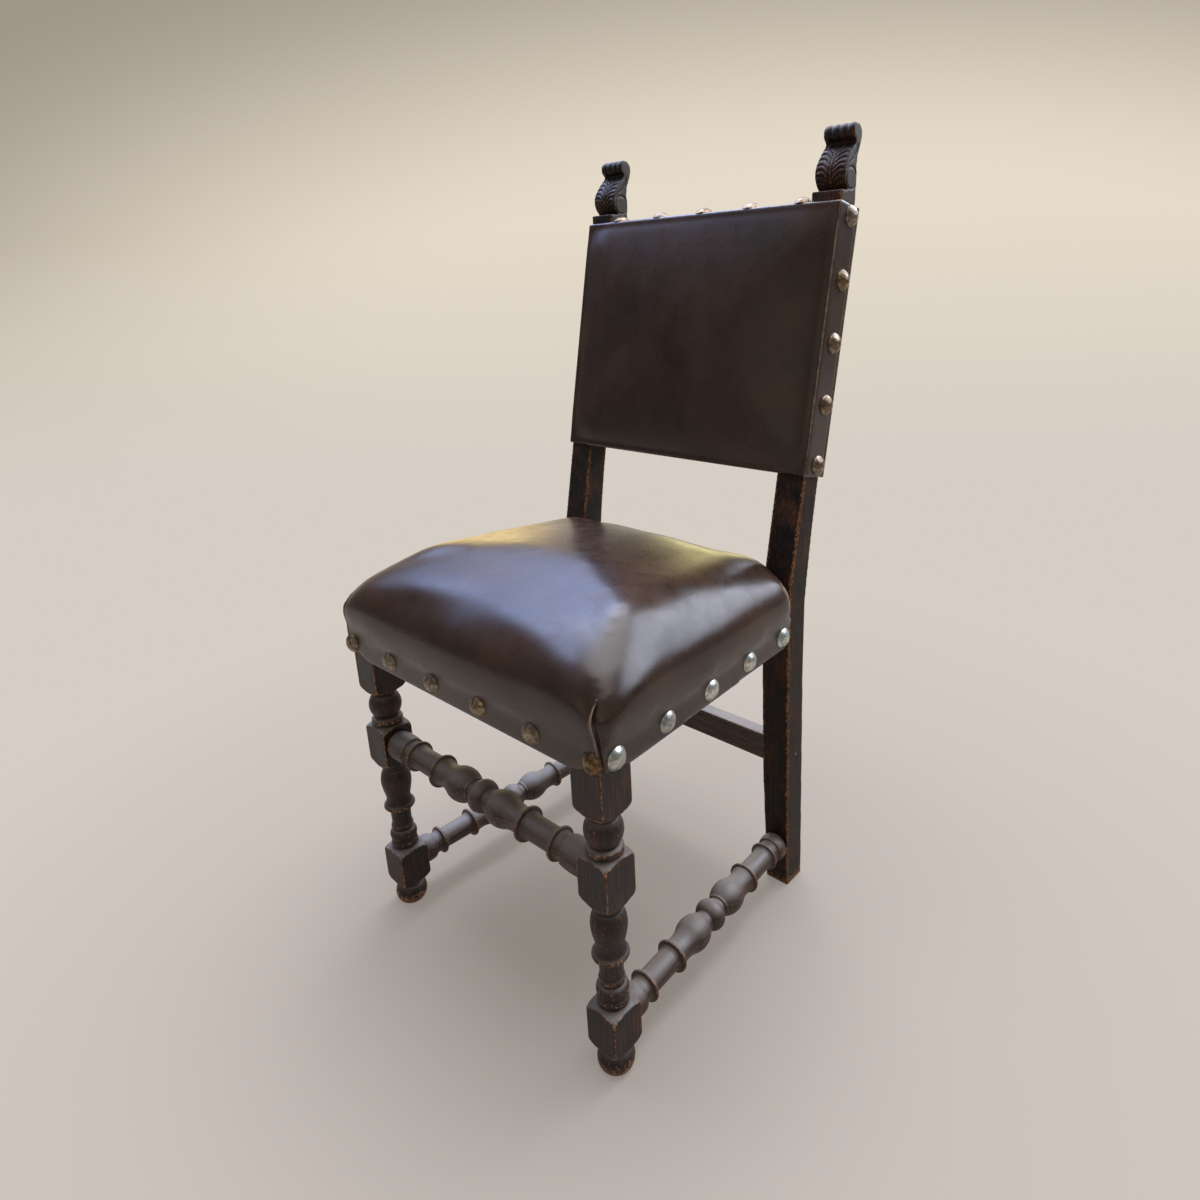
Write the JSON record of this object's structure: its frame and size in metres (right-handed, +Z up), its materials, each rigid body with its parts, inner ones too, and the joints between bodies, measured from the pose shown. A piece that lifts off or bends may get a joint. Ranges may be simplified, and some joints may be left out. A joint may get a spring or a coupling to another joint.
{
  "type": "studded leather chair",
  "caption": "High-backed side chair with turned legs and stretchers, scroll finials, and a leather seat and back held by large domed studs.",
  "frame": {"origin": "on the floor, under the middle of the chair's outline", "axes": "+Z up, +Y towards the back, +X to the right of someone facing the back from the front"},
  "size_m": [0.4952, 0.5447, 1.0621],
  "materials": {
    "stained_wood": "dark stained and waxed, worn to bare wood on the edges",
    "frame_wood": "plain planed hardwood, hidden under the upholstery",
    "leather": "dark brown, semi-gloss, scratched and creased",
    "stud_brass": "aged and hammered, silvery where worn",
    "webbing": "jute webbing",
    "burlap": "loose plain weave",
    "stuffing": "hair and cotton wadding"
  },
  "bodies": {
    "root": {"front_leg_left": "stained_wood", "front_leg_right": "stained_wood", "rear_post_left": "stained_wood", "rear_post_right": "stained_wood", "front_stretcher": "stained_wood", "side_stretcher_left": "stained_wood", "side_stretcher_right": "stained_wood", "rear_stretcher": "stained_wood", "stretcher_pegs": "stained_wood", "seat_rail_front": "frame_wood", "seat_rail_left": "frame_wood", "seat_rail_right": "frame_wood", "seat_rail_rear": "frame_wood", "seat_corner_blocks": "frame_wood", "back_rail_upper": "frame_wood", "back_rail_lower": "frame_wood", "seat_cover": "leather", "back_cover_front": "leather", "back_cover_rear": "leather", "seat_studs_front": "stud_brass", "seat_studs_left": "stud_brass", "seat_studs_right": "stud_brass", "back_studs_left": "stud_brass", "back_studs_right": "stud_brass", "back_studs_top": "stud_brass", "seat_webbing_lengthwise": "webbing", "seat_webbing_crosswise": "webbing", "back_webbing": "webbing", "seat_burlap": "burlap", "back_burlap": "burlap", "seat_stuffing": "stuffing", "back_stuffing": "stuffing", "back_lining": "stuffing"}
  },
  "joints": []
}
